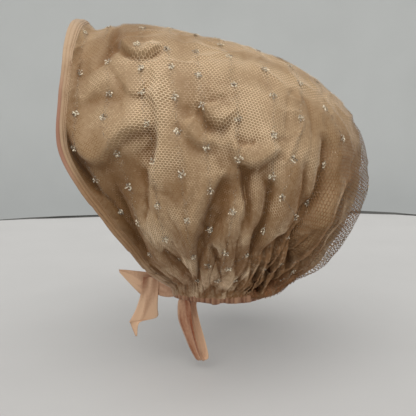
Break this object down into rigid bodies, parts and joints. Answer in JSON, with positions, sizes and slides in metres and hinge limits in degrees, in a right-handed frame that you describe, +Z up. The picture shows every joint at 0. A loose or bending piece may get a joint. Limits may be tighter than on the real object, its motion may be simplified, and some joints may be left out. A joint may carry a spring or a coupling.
{
  "type": "hair bonnet",
  "caption": "Large gathered satin hair bonnet under dotted tulle, with a bound face opening, a narrow neck casing, ribbon ties in a bow and a hanging ribbon loop.",
  "frame": {"origin": "the inner surface of the satin at the crown, where the bonnet sits on the top of the head", "axes": "+Z up as worn, the face opening towards -Y, and +X towards the wearer's left"},
  "size_m": [0.2698, 0.2945, 0.34],
  "materials": {
    "peach_satin": "satin",
    "spotted_net": "matte",
    "pink_binding": "satin",
    "pink_piping": "satin",
    "pink_ribbon": "satin"
  },
  "bodies": {
    "root": {"satin_body": "peach_satin", "net_overlay": "spotted_net", "face_binding": "pink_binding", "binding_cord": "pink_piping", "neck_casing": "pink_binding", "tie_near": "pink_ribbon", "tie_far": "pink_ribbon", "bow_knot": "pink_ribbon", "bow_wing": "pink_ribbon", "bow_tail": "pink_ribbon", "hanging_loop": "pink_ribbon"}
  },
  "joints": []
}
